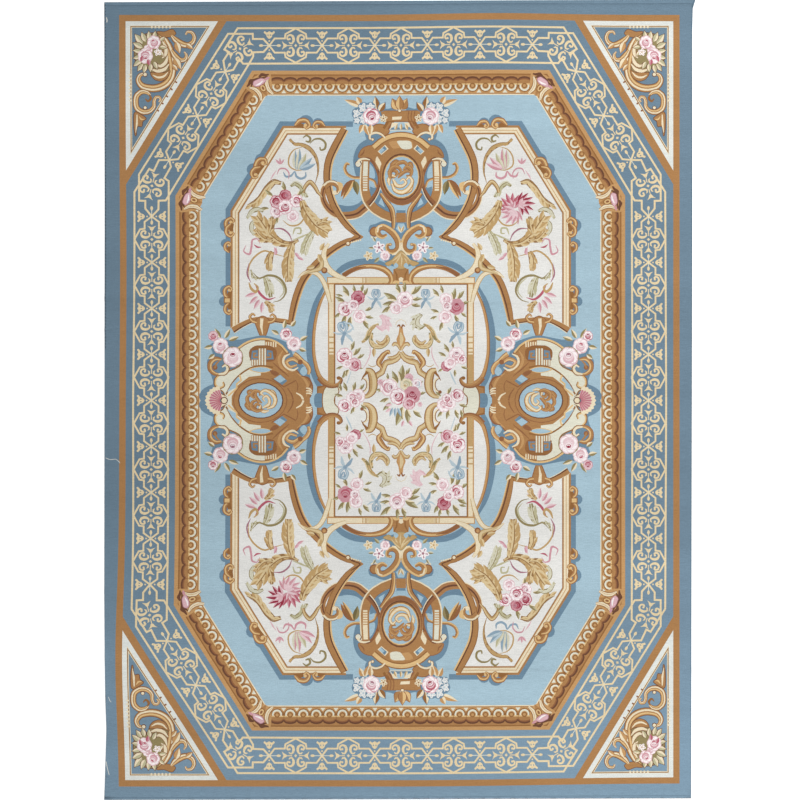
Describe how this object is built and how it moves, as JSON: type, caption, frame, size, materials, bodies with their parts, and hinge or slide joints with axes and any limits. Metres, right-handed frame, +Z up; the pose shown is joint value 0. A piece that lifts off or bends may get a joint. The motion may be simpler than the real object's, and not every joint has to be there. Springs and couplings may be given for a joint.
{
  "type": "area rug",
  "caption": "Flat-woven rectangular wool floor rug with hemmed ends, lying flat, for covering a room's floor.",
  "frame": {"origin": "middle of the underside of the rug's box, on the floor", "axes": "+Z up out of the face of the rug, +Y along its length, +X along its width"},
  "size_m": [2.708, 3.666, 0.007],
  "materials": {
    "wool": "matte flat-woven wool"
  },
  "bodies": {
    "root": {"rug": "wool"}
  },
  "joints": []
}
